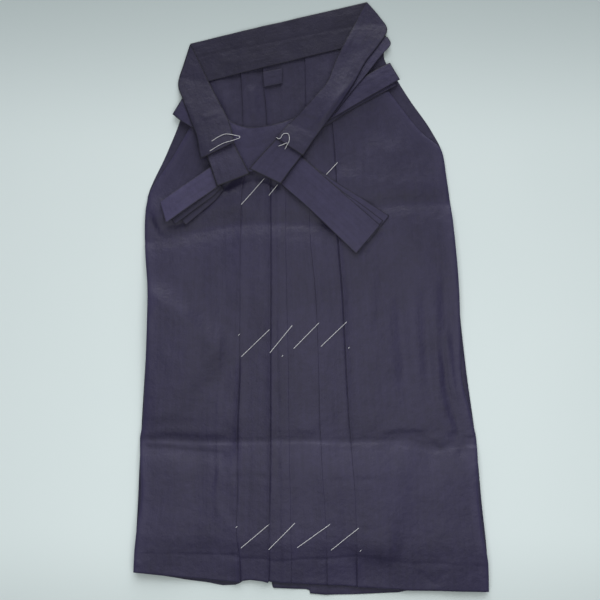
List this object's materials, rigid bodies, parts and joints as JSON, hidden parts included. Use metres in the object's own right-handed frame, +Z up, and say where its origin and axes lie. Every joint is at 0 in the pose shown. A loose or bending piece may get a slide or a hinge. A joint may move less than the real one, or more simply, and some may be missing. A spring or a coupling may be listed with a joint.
{
  "type": "hakama",
  "caption": "Pleated hakama laid out flat, front up, with knife pleats down the front, a tilted back waistband and its ties folded over the waist.",
  "frame": {"origin": "on the surface the garment lies on, under the middle of its whole outline", "axes": "+Z up off the surface, +Y towards the waist along the length, +X to the right of someone looking down on it"},
  "size_m": [0.709, 1.18, 0.0207],
  "materials": {
    "cloth": "smooth fine twill, plum grey, soft sheen",
    "thread": "white basting thread"
  },
  "bodies": {
    "root": {"back_skirt": "cloth", "back_waistband": "cloth", "inner_patch": "cloth", "front_skirt": "cloth", "front_waistband": "cloth", "front_tie_left": "cloth", "front_tie_right": "cloth", "tail_left_bottom": "cloth", "tail_left_middle": "cloth", "tail_left_top": "cloth", "tail_right_bottom": "cloth", "tail_right_middle": "cloth", "tail_right_top": "cloth", "back_tie_left_wrap": "cloth", "back_tie_right_wrap": "cloth", "back_tie_right_under": "cloth", "back_tie_left_drop": "cloth", "back_tie_right_drop": "cloth"}
  },
  "joints": []
}
